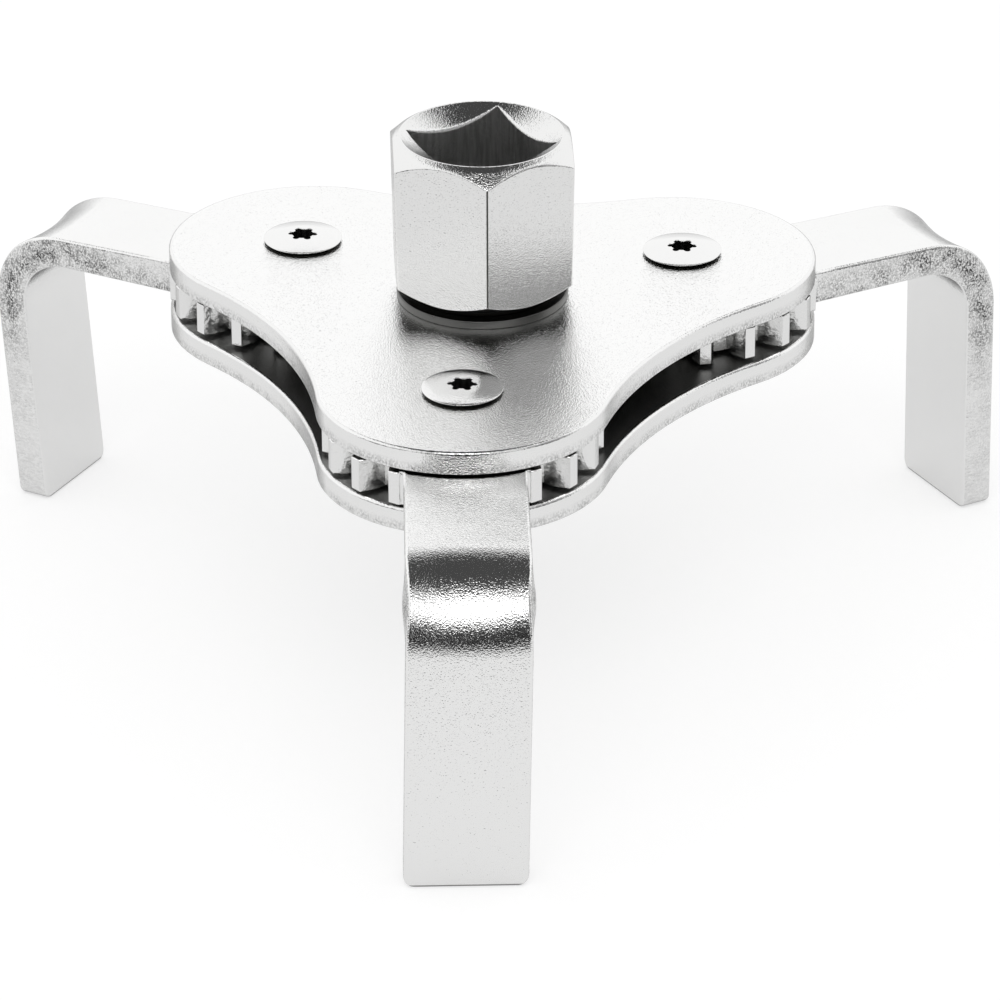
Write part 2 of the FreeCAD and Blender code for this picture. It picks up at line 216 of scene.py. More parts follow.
def map_range(tree, from_min, from_max, to_min=0.0, to_max=1.0):
    """A straight change from one span of values to another, held at its ends."""
    change = tree.nodes.new("ShaderNodeMapRange")
    change.inputs["From Min"].default_value = from_min
    change.inputs["From Max"].default_value = from_max
    change.inputs["To Min"].default_value = to_min
    change.inputs["To Max"].default_value = to_max
    return change


def bump(tree, height):
    relief = tree.nodes.new("ShaderNodeBump")
    relief.inputs["Distance"].default_value = height
    return relief


def colour_mix(tree):
    mix = tree.nodes.new("ShaderNodeMix")
    mix.data_type = "RGBA"
    return mix


def product(tree):
    times = tree.nodes.new("ShaderNodeMath")
    times.operation = "MULTIPLY"
    return times


wave_size = 4.0 * mm
cloud_size = 9.0 * mm
cloud_span = (0.3, 0.7)
roughness_spread = 0.05
# Painted edge shade: the colour darkens over this span of facing, down to this share of its tone.
turned_away_span = (0.68, 0.88)
painted_grazing_shade_tone = 0.2
tint_warmth = 0.005


def nickel(name, tone, roughness, grain_size, grain_height, wave_height, painted_grazing_shade_strength=0.85):
    """Satin nickel over blasted steel: a fine grain, a slow waviness, and cloudy roughness, with painted
    edge shade that darkens the colour where the surface turns away from the camera.
    """
    material = bpy.data.materials.new(name)
    material.use_nodes = True
    tree = material.node_tree
    shader = tree.nodes["Principled BSDF"]
    shader.inputs["Metallic"].default_value = 1.0
    coordinate = tree.nodes.new("ShaderNodeTexCoord")
    grain = noise(tree, grain_size, 1.0)
    wave = noise(tree, wave_size, 2.0)
    cloud = noise(tree, cloud_size, 4.0)
    satin = map_range(tree, *cloud_span, roughness - roughness_spread, roughness + roughness_spread)
    tint = colour_mix(tree)
    for end, level in (("A", tone - 0.03), ("B", tone + 0.02)):
        tint.inputs[end].default_value = (level, level, level - tint_warmth, 1.0)
    # Painted edge shade: the colour darkens where the surface turns away from the camera.
    turned_away = tree.nodes.new("ShaderNodeLayerWeight")
    at_edge = map_range(tree, *turned_away_span, to_max=painted_grazing_shade_strength)
    painted_grazing_shade = colour_mix(tree)
    painted_grazing_shade.inputs["B"].default_value = grey(tone * painted_grazing_shade_tone)
    wave_bump = bump(tree, wave_height)
    grain_bump = bump(tree, grain_height)
    join_nodes(
        tree,
        (coordinate.outputs["Object"], grain.inputs["Vector"]),
        (coordinate.outputs["Object"], wave.inputs["Vector"]),
        (coordinate.outputs["Object"], cloud.inputs["Vector"]),
        (cloud.outputs["Fac"], satin.inputs["Value"]),
        (satin.outputs["Result"], shader.inputs["Roughness"]),
        (cloud.outputs["Fac"], tint.inputs["Factor"]),
        (turned_away.outputs["Facing"], at_edge.inputs["Value"]),
        (at_edge.outputs["Result"], painted_grazing_shade.inputs["Factor"]),
        (tint.outputs["Result"], painted_grazing_shade.inputs["A"]),
        (painted_grazing_shade.outputs["Result"], shader.inputs["Base Color"]),
        (wave.outputs["Fac"], wave_bump.inputs["Height"]),
        (grain.outputs["Fac"], grain_bump.inputs["Height"]),
        (wave_bump.outputs["Normal"], grain_bump.inputs["Normal"]),
        (grain_bump.outputs["Normal"], shader.inputs["Normal"]),
    )
    return material


def height_fade(material, none_at, full_at):
    """A share from 0 to 1 between two heights above the floor."""
    tree = material.node_tree
    place = tree.nodes.new("ShaderNodeSeparateXYZ")
    fade = map_range(tree, none_at, full_at)
    join_nodes(
        tree,
        (tree.nodes["Texture Coordinate"].outputs["Object"], place.inputs["Vector"]),
        (place.outputs["Z"], fade.inputs["Value"]),
    )
    return fade.outputs["Result"]


patch_share = 8.0
patch_span = (0.38, 0.58)
patch_least = 0.45
pit_span = (0.62, 0.40)
pit_tone = 0.06


def add_marks(material, where, stretch, size, height, pitted):
    """Streaks and dark pits in a finish, gathered in patches, as strong as where says."""
    tree = material.node_tree
    shader = tree.nodes["Principled BSDF"]
    coordinate = tree.nodes["Texture Coordinate"]
    mapping = tree.nodes.new("ShaderNodeMapping")
    mapping.inputs["Scale"].default_value = stretch
    streaks = noise(tree, size, 4.0)
    patches = noise(tree, patch_share * size, 2.0)
    patch = map_range(tree, *patch_span, to_min=patch_least)
    press = bump(tree, height)
    pit = map_range(tree, *pit_span, to_max=pitted)
    strength = product(tree)
    pit_here = product(tree)
    darkened = colour_mix(tree)
    darkened.inputs["B"].default_value = grey(pit_tone)
    colour_so_far = shader.inputs["Base Color"].links[0].from_socket
    smooth_so_far = shader.inputs["Normal"].links[0].from_socket
    join_nodes(
        tree,
        (coordinate.outputs["Object"], mapping.inputs["Vector"]),
        (mapping.outputs["Vector"], streaks.inputs["Vector"]),
        (mapping.outputs["Vector"], patches.inputs["Vector"]),
        (patches.outputs["Fac"], patch.inputs["Value"]),
        (patch.outputs["Result"], strength.inputs[0]),
        (where, strength.inputs[1]),
        (strength.outputs[0], press.inputs["Strength"]),
        (streaks.outputs["Fac"], press.inputs["Height"]),
        (streaks.outputs["Fac"], pit.inputs["Value"]),
        (pit.outputs["Result"], pit_here.inputs[0]),
        (strength.outputs[0], pit_here.inputs[1]),
        (pit_here.outputs[0], darkened.inputs["Factor"]),
        (colour_so_far, darkened.inputs["A"]),
        (darkened.outputs["Result"], shader.inputs["Base Color"]),
        (smooth_so_far, press.inputs["Normal"]),
        (press.outputs["Normal"], shader.inputs["Normal"]),
    )


def blanked_rim(name, node):
    """The wall of a blanked plate: burnished above, torn and rough in its lower third."""
    material = nickel(name, tone=0.93, roughness=0.16, grain_size=0.22 * mm,
                      grain_height=0.040 * mm, wave_height=0.020 * mm)
    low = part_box(node)[0].z
    torn_band = height_fade(material, none_at=low + 1.4 * mm, full_at=low + 0.5 * mm)
    add_marks(material, torn_band, stretch=(1.0, 1.0, 0.80), size=0.22 * mm, height=0.05 * mm, pitted=0.45)
    return material


plate_nickel = nickel("plate_nickel", tone=0.98, roughness=0.12, grain_size=0.18 * mm,
                      grain_height=0.056 * mm, wave_height=0.020 * mm)
# Painted shade: the upper plate's underside faces into the gap between the plates, and its nickel is
# painted nearly black for the shade there.
gap_shade_nickel = nickel("gap_shade_nickel", tone=0.06, roughness=0.45, grain_size=0.40 * mm,
                        grain_height=0.020 * mm, wave_height=0.020 * mm)
# Painted shade: the lower plate's top face lies in the gap between the plates, and its nickel is painted
# dark grey for the shade there.
gap_floor_shade_nickel = nickel("gap_floor_shade_nickel", tone=0.30, roughness=0.40, grain_size=0.30 * mm,
                     grain_height=0.020 * mm, wave_height=0.020 * mm)

pivot_radius = 26.4 * mm
lobe_angles = {"front": -90.0, "right": 30.0, "left": 150.0}
lobe_centre_radius = 25.3 * mm
lobe_radius = 17.0 * mm
waist_radius = 50.0 * mm
plate_roll = 0.40 * mm
plate_burr = 0.08 * mm
pivot_hole_radius = 2.55 * mm
upper_hub_hole_radius = 8.05 * mm
lower_hub_hole_radius = 6.05 * mm
lobe_steps = 32
waist_steps = 24
hole_sides = 40
quarter_steps = 6
weld_distance = 0.0005 * mm


def polar(radius, degrees, z=0.0):
    angle = math.radians(degrees)
    return Vector((radius * math.cos(angle), radius * math.sin(angle), z))


def plate_outline(inset):
    """Points round the plate, set in from its edge: lobe arcs and hollow waists share tangents."""
    half_span = lobe_centre_radius * math.sin(math.radians(60))
    waist_centre = lobe_centre_radius / 2 + math.sqrt((lobe_radius + waist_radius) ** 2 - half_span ** 2)
    points = []
    for angle in lobe_angles.values():
        lobe = polar(lobe_centre_radius, angle)
        after = polar(waist_centre, angle + 60)
        reach = after - lobe
        half_lobe = math.degrees(math.atan2(reach.y, reach.x)) - angle
        half_lobe = (half_lobe + 180.0) % 360.0 - 180.0
        for k in range(lobe_steps + 1):
            along = half_lobe * (2.0 * k / lobe_steps - 1.0)
            points.append(lobe + polar(lobe_radius - inset, angle + along))
        next_lobe = polar(lobe_centre_radius, angle + 120)
        towards = lobe - after
        start = math.degrees(math.atan2(towards.y, towards.x))
        towards = next_lobe - after
        end = math.degrees(math.atan2(towards.y, towards.x))
        sweep = (end - start + 180.0) % 360.0 - 180.0
        for k in range(1, waist_steps):
            points.append(after + polar(waist_radius + inset, start + sweep * k / waist_steps))
    return points


def finished(name, bm, materials, sharp_degrees=30.0):
    """Makes the working mesh a piece: closed, facing out, smooth where it is smooth."""
    bmesh.ops.remove_doubles(bm, verts=bm.verts, dist=weld_distance)
    bmesh.ops.recalc_face_normals(bm, faces=bm.faces)
    mesh = bpy.data.meshes.new(name)
    bm.to_mesh(mesh)
    bm.free()
    mesh.polygons.foreach_set("use_smooth", [True] * len(mesh.polygons))
    mesh.set_sharp_from_angle(angle=math.radians(sharp_degrees))
    for material in materials:
        mesh.materials.append(material)
    piece = bpy.data.objects.new(name, mesh)
    bpy.context.scene.collection.objects.link(piece)
    weighted = piece.modifiers.new("flat_faces_stay_flat", "WEIGHTED_NORMAL")
    weighted.keep_sharp = True
    settled(piece)
    return piece


def settled(piece):
    """Replaces a piece's mesh by what its modifiers make of it, and removes them."""
    bpy.context.view_layer.update()
    evaluated = piece.evaluated_get(bpy.context.evaluated_depsgraph_get())
    piece.data = bpy.data.meshes.new_from_object(evaluated)
    piece.modifiers.clear()


def ring_of_faces(bm, below, above, material_index=0):
    count = len(below)
    for k in range(count):
        n = (k + 1) % count
        face = bm.faces.new((below[k], below[n], above[n], above[k]))
        face.material_index = material_index


foot_face, top_face, rim_face = range(3)


def plate_piece(name, node, hub_hole_radius, foot_material, top_material):
    """A plate as a stack of outlines, closed above and below by faces with four round holes."""
    low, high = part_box(node)
    bm = bmesh.new()
    levels = [(plate_burr, low.z), (0.0, low.z + plate_burr)]
    levels += [(0.0, low.z + (high.z - low.z) * share) for share in (0.2, 0.4)]
    for k in range(quarter_steps + 1):
        bend = math.radians(90.0 * k / quarter_steps)
        levels.append((plate_roll * (1 - math.cos(bend)), high.z - plate_roll * (1 - math.sin(bend))))
    rings = []
    for inset, z in levels:
        rings.append([bm.verts.new((p.x, p.y, z)) for p in plate_outline(inset)])
    for below, above in zip(rings, rings[1:]):
        ring_of_faces(bm, below, above, rim_face)
    holes = [(Vector((0, 0, 0)), hub_hole_radius)]
    holes += [(polar(pivot_radius, angle), pivot_hole_radius) for angle in lobe_angles.values()]
    walls = []
    for centre, radius in holes:
        ends = []
        for z in (low.z, high.z):
            ends.append([bm.verts.new(centre + polar(radius, 360.0 * k / hole_sides, z))
                         for k in range(hole_sides)])
        ring_of_faces(bm, ends[0], ends[1])
        walls.append(ends)
    for ring, end, kind in ((rings[0], 0, foot_face), (rings[-1], 1, top_face)):
        loops = [ring] + [wall[end] for wall in walls]
        corners = [vert for loop in loops for vert in loop]
        for triangle in tessellate_polygon([[vert.co for vert in loop] for loop in loops]):
            face = bm.faces.new([corners[i] for i in triangle])
            face.material_index = kind
    piece = finished(name, bm, [foot_material, top_material, blanked_rim(f"{name}_rim", node)])
    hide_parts(node)
    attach(piece, "housing")


plate_piece("upper_plate", "top_plate", upper_hub_hole_radius, gap_shade_nickel, plate_nickel)
plate_piece("lower_plate", "bottom_plate", lower_hub_hole_radius, plate_nickel, gap_floor_shade_nickel)


# ---- Jaw arms -----------------------------------------------------------------------------------
# Each jaw is one blank of 4 mm steel: a toothed head, a bar and a leg bent down from it. The bend
# draws the outer face in and squeezes the inner face out. Its sides are sheared and stay grainy.

arm_nickel = nickel("arm_nickel", tone=0.95, roughness=0.12, grain_size=0.18 * mm,
                    grain_height=0.044 * mm, wave_height=0.030 * mm)
sheared_nickel = nickel("sheared_nickel", tone=0.94, roughness=0.16, grain_size=0.24 * mm,
                        grain_height=0.060 * mm, wave_height=0.040 * mm, painted_grazing_shade_strength=0.0)
side_wear = sheared_nickel.node_tree.nodes.new("ShaderNodeAttribute")
side_wear.attribute_name = "side_wear"
on_leg = height_fade(sheared_nickel, none_at=33.0 * mm, full_at=26.0 * mm)
add_marks(sheared_nickel, side_wear.outputs["Fac"], stretch=(1.0, 1.0, 0.85), size=0.22 * mm,
          height=0.07 * mm, pitted=1.0)
add_marks(sheared_nickel, on_leg, stretch=(0.40, 0.40, 1.0), size=0.26 * mm,
          height=0.06 * mm, pitted=0.15)
# Painted shade: a dark band round the rounded tip of each leg, where it stands on the floor.
tip_shade_nickel = nickel("tip_shade_nickel", tone=0.30, roughness=0.30, grain_size=0.30 * mm,
                   grain_height=0.010 * mm, wave_height=0.010 * mm)
tooth_nickel = nickel("tooth_nickel", tone=0.90, roughness=0.22, grain_size=0.40 * mm,
                      grain_height=0.040 * mm, wave_height=0.040 * mm)

arm_width = 14.0 * mm
arm_thickness = 4.0 * mm
arm_reach = 40.4 * mm
arm_top = 37.5 * mm
arm_bottom = arm_top - arm_thickness
bend_inner_radius = 6.0 * mm
bend_outer_radius = bend_inner_radius + arm_thickness
bend_waist = 0.20 * mm
bend_bulge = 0.35 * mm
bend_edge_radius = 0.55 * mm
bend_saddle = 0.7 * mm
arm_edge_radius = 0.40 * mm
shoulder_reach = 14.30 * mm
shoulder_half = 7.51 * mm
foot_corner_radius = 1.3 * mm
tip_round = 0.35 * mm
bend_steps = 36
waist_share = 0.58
waist_spread = 0.22
leg_stations = (26.0 * mm, 22.0 * mm, 16.0 * mm, 10.0 * mm, 5.0 * mm)
bar_root_rise = 0.20 * mm
bar_bend_fall = 0.20 * mm
bar_tail_sink = 0.40 * mm
bar_tail = 7.0 * mm
bar_tail_end = 11.0 * mm
bar_root = 13.0 * mm
shoulder_slope = 0.2 * mm
weld_step = 0.02 * mm
head_bore_radius = 4.55 * mm
head_pitch_radius = 14.4 * mm
head_root_radius = 12.95 * mm
head_tip_radius = 16.15 * mm
head_teeth = 18
tooth_width = 2.60 * mm
root_fillet_angle = 0.6
pressure_angle = math.radians(14.5)
tooth_edge_round = 0.10 * mm
flank_steps = 5

# In degrees: the swing from straight out, the leg's lean outward and its lean sideways.
arm_swings = {"front": 6.28, "right": 3.41, "left": 6.79}
leg_leans = {"front": 2.6, "right": 0.8, "left": -2.9}
side_leans = {"front": -1.2, "right": 0.0, "left": -2.1}


def repeat_round_tree():
    """Geometry Nodes: one sector repeated round its own Z axis and welded where copies meet."""
    tree = bpy.data.node_groups.new("repeat_round", "GeometryNodeTree")
    tree.interface.new_socket("Geometry", in_out="OUTPUT", socket_type="NodeSocketGeometry")
    tree.interface.new_socket("Sector", in_out="INPUT", socket_type="NodeSocketGeometry")
    tree.interface.new_socket("Count", in_out="INPUT", socket_type="NodeSocketInt")
    tree.interface.new_socket("Weld Distance", in_out="INPUT", socket_type="NodeSocketFloat")
    tree.interface.new_socket("Finish", in_out="INPUT", socket_type="NodeSocketMaterial")
    given = tree.nodes.new("NodeGroupInput")
    result = tree.nodes.new("NodeGroupOutput")
    points = tree.nodes.new("GeometryNodePoints")
    index = tree.nodes.new("GeometryNodeInputIndex")
    step = tree.nodes.new("ShaderNodeMath")
    step.operation = "DIVIDE"
    step.inputs[0].default_value = 2 * math.pi
    turn = tree.nodes.new("ShaderNodeMath")
    turn.operation = "MULTIPLY"
    euler = tree.nodes.new("ShaderNodeCombineXYZ")
    rotation = tree.nodes.new("FunctionNodeEulerToRotation")
    copies = tree.nodes.new("GeometryNodeInstanceOnPoints")
    real = tree.nodes.new("GeometryNodeRealizeInstances")
    weld = tree.nodes.new("GeometryNodeMergeByDistance")
    finish = tree.nodes.new("GeometryNodeSetMaterial")
    join_nodes(
        tree,
        (given.outputs["Count"], points.inputs["Count"]),
        (given.outputs["Count"], step.inputs[1]),
        (index.outputs["Index"], turn.inputs[0]),
        (step.outputs[0], turn.inputs[1]),
        (turn.outputs[0], euler.inputs["Z"]),
        (euler.outputs[0], rotation.inputs[0]),
        (points.outputs[0], copies.inputs["Points"]),
        (given.outputs["Sector"], copies.inputs["Instance"]),
        (rotation.outputs[0], copies.inputs["Rotation"]),
        (copies.outputs[0], real.inputs[0]),
        (real.outputs[0], weld.inputs["Geometry"]),
        (given.outputs["Weld Distance"], weld.inputs["Distance"]),
        (weld.outputs[0], finish.inputs["Geometry"]),
        (given.outputs["Finish"], finish.inputs["Material"]),
        (finish.outputs[0], result.inputs[0]),
    )
    return tree


repeat_round = repeat_round_tree()
sector_weld_distance = 0.001 * mm


def repeated_round(name, sector, count, material):
    """The sector's working mesh repeated round Z, as a piece with a plain mesh."""
    mesh = bpy.data.meshes.new(name)
    sector.to_mesh(mesh)
    sector.free()
    piece = bpy.data.objects.new(name, mesh)
    bpy.context.scene.collection.objects.link(piece)
    modifier = piece.modifiers.new("repeat_round", "NODES")
    modifier.node_group = repeat_round
    sockets = {item.name: item.identifier for item in repeat_round.interface.items_tree}
    modifier[sockets["Count"]] = count
    modifier[sockets["Weld Distance"]] = sector_weld_distance
    modifier[sockets["Finish"]] = material
    settled(piece)
    return piece


def involute(angle):
    return math.tan(angle) - angle


def tooth_half_angle(radius, pitch_radius, width):
    base_radius = pitch_radius * math.cos(pressure_angle)
    local = math.acos(base_radius / max(radius, base_radius))
    return math.degrees(width / 2 / pitch_radius + involute(pressure_angle) - involute(local))


def head_sector():
    """One tooth's share of the head, from gap middle to gap middle, standing on z = 0."""
    step = 360.0 / head_teeth
    flank = []
    for k in range(flank_steps + 1):
        radius = head_root_radius + (head_tip_radius - head_root_radius) * k / flank_steps
        flank.append((radius, tooth_half_angle(radius, head_pitch_radius, tooth_width)))
    foot_angle = flank[0][1] + root_fillet_angle
    flank[0] = (head_root_radius, foot_angle)
    gap_angle = (step / 2 + foot_angle) / 2
    outline = [(head_root_radius, -step / 2), (head_root_radius, -gap_angle)]
    outline += [(radius, -angle) for radius, angle in flank]
    outline += [(head_tip_radius, 0.0)]
    outline += [(radius, angle) for radius, angle in reversed(flank)]
    outline += [(head_root_radius, gap_angle), (head_root_radius, step / 2)]
    bm = bmesh.new()
    rings = []
    levels = [
        (tooth_edge_round, 0.0),
        (0.0, tooth_edge_round),
        (0.0, arm_thickness - tooth_edge_round),
        (tooth_edge_round, arm_thickness),
    ]
    for inset, z in levels:
        rings.append([bm.verts.new(polar(radius - inset, angle, z)) for radius, angle in outline])
    for below, above in zip(rings, rings[1:]):
        for k in range(len(below) - 1):
            bm.faces.new((below[k], below[k + 1], above[k + 1], above[k]))
    bores = []
    for z in (0.0, arm_thickness):
        bores.append([bm.verts.new(polar(head_bore_radius, angle, z)) for _, angle in outline])
    for k in range(len(outline) - 1):
        bm.faces.new((bores[1][k], bores[1][k + 1], bores[0][k + 1], bores[0][k]))
        bm.faces.new((bores[0][k], bores[0][k + 1], rings[0][k + 1], rings[0][k]))
        bm.faces.new((rings[-1][k], rings[-1][k + 1], bores[1][k + 1], bores[1][k]))
    return bm


def between(start, end):
    """Three points that divide the straight way across a side into quarters."""
    return [(start[0] + (end[0] - start[0]) * share, start[1] + (end[1] - start[1]) * share)
            for share in (0.25, 0.5, 0.75)]


def bar_ring(outer, inner, shift, outer_half, inner_half, outer_edge, inner_edge, saddle=0.0):
    """A loop round the bar: outer and inner are (x, z) points, and y runs across the width."""
    thickness = (outer - inner).length
    across = (outer - inner) / thickness
    corners = [
        (1, thickness - outer_edge, outer_half, outer_edge, 0),
        (-1, thickness - outer_edge, outer_half, outer_edge, 90),
        (-1, inner_edge, inner_half, inner_edge, 180),
        (1, inner_edge, inner_half, inner_edge, 270),
    ]
    points = []
    for side, centre_h, half, edge, start in corners:
        centre_y = side * (half - edge)
        for k in range(quarter_steps + 1):
            angle = math.radians(start + 90.0 * k / quarter_steps)
            y = centre_y + edge * math.cos(angle)
            h = centre_h + edge * math.sin(angle)
            points.append((y, h))
    quarter = len(points) // 4
    points += between(points[-1], points[0])
    points[2 * quarter:2 * quarter] = between(points[2 * quarter - 1], points[2 * quarter])
    points[quarter:quarter] = [(outer_half * side, thickness) for side in (0.7, 0.4, 0.0, -0.4, -0.7)]
    result = []
    for y, h in points:
        h += saddle * (y / outer_half) ** 2 * h / thickness
        place = inner + across * h
        result.append(Vector((place.x, y + shift, place.y)))
    return result


def bend_centre(lobe):
    """The (x, z) point that the bend turns round, set so that the leg's foot has its reach."""
    lean = math.radians(leg_leans[lobe])
    x = arm_reach + bend_outer_radius * (math.tan(lean) - 1 / math.cos(lean))
    return Vector((x, arm_top - bend_outer_radius))


def bar_rings(lobe):
    """Loops from inside the head along the bar, round the bend and down the leg to the tip."""
    lean = math.radians(leg_leans[lobe])
    side = math.tan(math.radians(side_leans[lobe]))
    bend = bend_centre(lobe)
    half = arm_width / 2
    rings = []
    stations = [
        (bar_tail, shoulder_half, -bar_tail_sink, bar_tail_sink),
        (bar_tail_end, shoulder_half, -bar_tail_sink, bar_tail_sink),
        (bar_root, shoulder_half, bar_root_rise / 2, -weld_step),
        (shoulder_reach - shoulder_slope, shoulder_half, bar_root_rise, -weld_step),
        (shoulder_reach, half, bar_root_rise, -weld_step),
    ]
    for share in (0.25, 0.5, 0.75, 0.93):
        rise = bar_root_rise - (bar_root_rise + bar_bend_fall) * share
        stations.append((shoulder_reach + (bend.x - shoulder_reach) * share, half, rise, 0.0))
    for x, wide, rise, foot_rise in stations:
        rings.append(bar_ring(Vector((x, arm_top + rise)), Vector((x, arm_bottom + foot_rise)), 0.0,
                              wide, wide, arm_edge_radius, arm_edge_radius))
    for k in range(bend_steps + 1):
        share = k / bend_steps
        angle = math.pi / 2 + (lean - math.pi / 2) * share
        out = Vector((math.cos(angle), math.sin(angle)))
        pinch = math.sin(math.pi * share) ** 2
        narrow = math.exp(-((share - waist_share) / waist_spread) ** 2)
        fall = bar_bend_fall * math.cos(math.pi / 2 * share) ** 2
        outer = bend + out * (bend_outer_radius - fall - bend_saddle / 2 * pinch)
        inner = bend + out * bend_inner_radius
        height = (outer.y + inner.y) / 2
        shift = max(arm_bottom - height, 0.0) * side
        rings.append(bar_ring(outer, inner, shift,
                              half - bend_waist * narrow,
                              half + bend_bulge * pinch,
                              arm_edge_radius + (bend_edge_radius - arm_edge_radius) * pinch,
                              arm_edge_radius, bend_saddle * pinch))
    down = Vector((math.tan(lean), -1.0))
    outer_end = bend + Vector((math.cos(lean), math.sin(lean))) * bend_outer_radius
    inner_end = bend + Vector((math.cos(lean), math.sin(lean))) * bend_inner_radius
    stations = [(z, 0.0) for z in leg_stations]
    for degrees in range(0, 91, 10):
        angle = math.radians(degrees)
        stations.append((foot_corner_radius * (1 - math.sin(angle)),
                         foot_corner_radius * (1 - math.cos(angle))))
    for z, narrowing in stations:
        outer = outer_end + down * (outer_end.y - z)
        inner = inner_end + down * (inner_end.y - z)
        thin = 0.0
        if z < tip_round:
            thin = tip_round - math.sqrt(max(tip_round ** 2 - (tip_round - z) ** 2, 0.0))
        along = (outer - inner).normalized()
        shift = (arm_bottom - z) * side
        edge = min(arm_edge_radius, (half - narrowing) * 0.5)
        rings.append(bar_ring(outer - along * thin, inner + along * thin, shift,
                              half - narrowing, half - narrowing, edge, edge))
    return rings


def tube(rings, capped):
    """Working mesh through equal loops of points, closed at both ends if it is capped."""
    bm = bmesh.new()
    loops = [[bm.verts.new(point) for point in ring] for ring in rings]
    for below, above in zip(loops, loops[1:]):
        ring_of_faces(bm, below, above)
    if capped:
        bm.faces.new(loops[0])
        bm.faces.new(loops[-1])
    return bm


# Wear runs from 0 to 1 and a little beyond. Inward counts through the thickness, from 0 at the outer
# face to 1 at the inner one.
bar_wear_outer = 0.10
bar_wear_gain = 0.90
leg_wear_outer = 0.20
leg_wear_loss = 0.16
bend_wear = 1.2
bend_wear_loss = 1.3
bend_wear_place = 0.45
bend_wear_spread = 6.0 * mm


def wear_of_side(lobe, place):
    """How torn the sheared side is at a place: the bar's lower half, and most of all the bend."""
    bend = bend_centre(lobe)
    if place.x < bend.x:
        inward = (arm_top - place.z) / arm_thickness
        beyond = bend.x - place.x
        away = bar_wear_outer + bar_wear_gain * inward
    elif place.z > bend.y:
        radius = math.hypot(place.x - bend.x, place.z - bend.y)
        inward = (bend_outer_radius - radius) / arm_thickness
        beyond = 0.0
        away = 0.0
    else:
        inward = 1.0 - (place.x - bend.x - bend_inner_radius) / arm_thickness
        beyond = bend.y - place.z
        away = leg_wear_outer - leg_wear_loss * inward
    at_bend = bend_wear - bend_wear_loss * abs(inward - bend_wear_place)
    near = math.exp(-(beyond / bend_wear_spread) ** 2)
    return max(away * (1 - near) + at_bend * near, 0.0)


arm_finishes = [arm_nickel, sheared_nickel, tooth_nickel, tip_shade_nickel]
main_face, sheared_side, tooth_side, tip_shade_face = range(len(arm_finishes))


def arm_piece(lobe):
    """The head and the bar joined to one blank, finished face by face and set on its pivot."""
    head = repeated_round(f"{lobe}_jaw", head_sector(), head_teeth, arm_nickel)
    half_tooth = Matrix.Rotation(math.pi / head_teeth, 4, "Z")
    head.data.transform(Matrix.Translation((0, 0, arm_bottom)) @ half_tooth)
    bar = finished(f"{lobe}_bar", tube(bar_rings(lobe), capped=True), [arm_nickel])
    union = head.modifiers.new("one_blank", "BOOLEAN")
    union.operation = "UNION"
    union.solver = "EXACT"
    union.object = bar
    settled(head)
    bpy.data.objects.remove(bar)
    bm = bmesh.new()
    bm.from_mesh(head.data)
    bpy.data.objects.remove(head)
    bm.normal_update()
    for face in bm.faces:
        middle = face.calc_center_median()
        # The tip's faces get the painted shade where the leg meets the floor.
        if middle.z < tip_round:
            face.material_index = tip_shade_face
        elif abs(face.normal.z) < 0.3 and middle.x < shoulder_reach + shoulder_slope / 2:
            face.material_index = tooth_side
        elif abs(face.normal.y) > 0.8:
            face.material_index = sheared_side
        else:
            face.material_index = main_face
    wear = bm.verts.layers.float.new("side_wear")
    for vert in bm.verts:
        vert[wear] = wear_of_side(lobe, vert.co)
    jaw = finished(f"{lobe}_jaw", bm, arm_finishes)
    pivot = Vector(joints[f"{lobe}_arm_swing"]["pos_m"])
    swing = Matrix.Rotation(math.radians(lobe_angles[lobe] + arm_swings[lobe]), 4, "Z")
    jaw.data.transform(Matrix.Translation(pivot) @ swing)
    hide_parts(f"{lobe}_arm")
    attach(jaw, f"{lobe}_jaw")


for lobe in lobe_angles:
    arm_piece(lobe)


# ---- Drive hub ----------------------------------------------------------------------------------
# Forged in one piece with its shaft: a slightly tapered hexagon with turned rims, a square socket
# with a wide conical mouth, a round shoulder, and a shaft that runs down through both plates.

hub_nickel = nickel("hub_nickel", tone=0.88, roughness=0.12, grain_size=0.18 * mm,
                    grain_height=0.042 * mm, wave_height=0.020 * mm)
# Painted shade: the socket's walls and floor are darker and rougher than the hub, for the shade deep in
# the socket; the vertical streaks and pits laid on them below are marks in the steel.
socket_shade_steel = nickel("socket_shade_steel", tone=0.68, roughness=0.35, grain_size=0.40 * mm,
                      grain_height=0.060 * mm, wave_height=0.040 * mm)
# Painted reflection: a thin dark line down the hexagon's front corner, standing in for what that corner
# reflects.
corner_dark_reflection = nickel("corner_dark_reflection", tone=0.10, roughness=0.30, grain_size=0.30 * mm,
                     grain_height=0.010 * mm, wave_height=0.010 * mm)
# Painted shade: near black, on the hub below its hexagon and on the flange wall under each screw head,
# where shade falls.
painted_shade_black = nickel("painted_shade_black", tone=0.03, roughness=0.45, grain_size=0.30 * mm,
                     grain_height=0.010 * mm, wave_height=0.010 * mm)
# Dark steel is the washer's own colour; the same material is painted into each screw's six-lobe recess as
# painted shade.
dark_steel_and_recess_shade = nickel("dark_steel_and_recess_shade", tone=0.15, roughness=0.30, grain_size=0.20 * mm,
                    grain_height=0.015 * mm, wave_height=0.010 * mm)

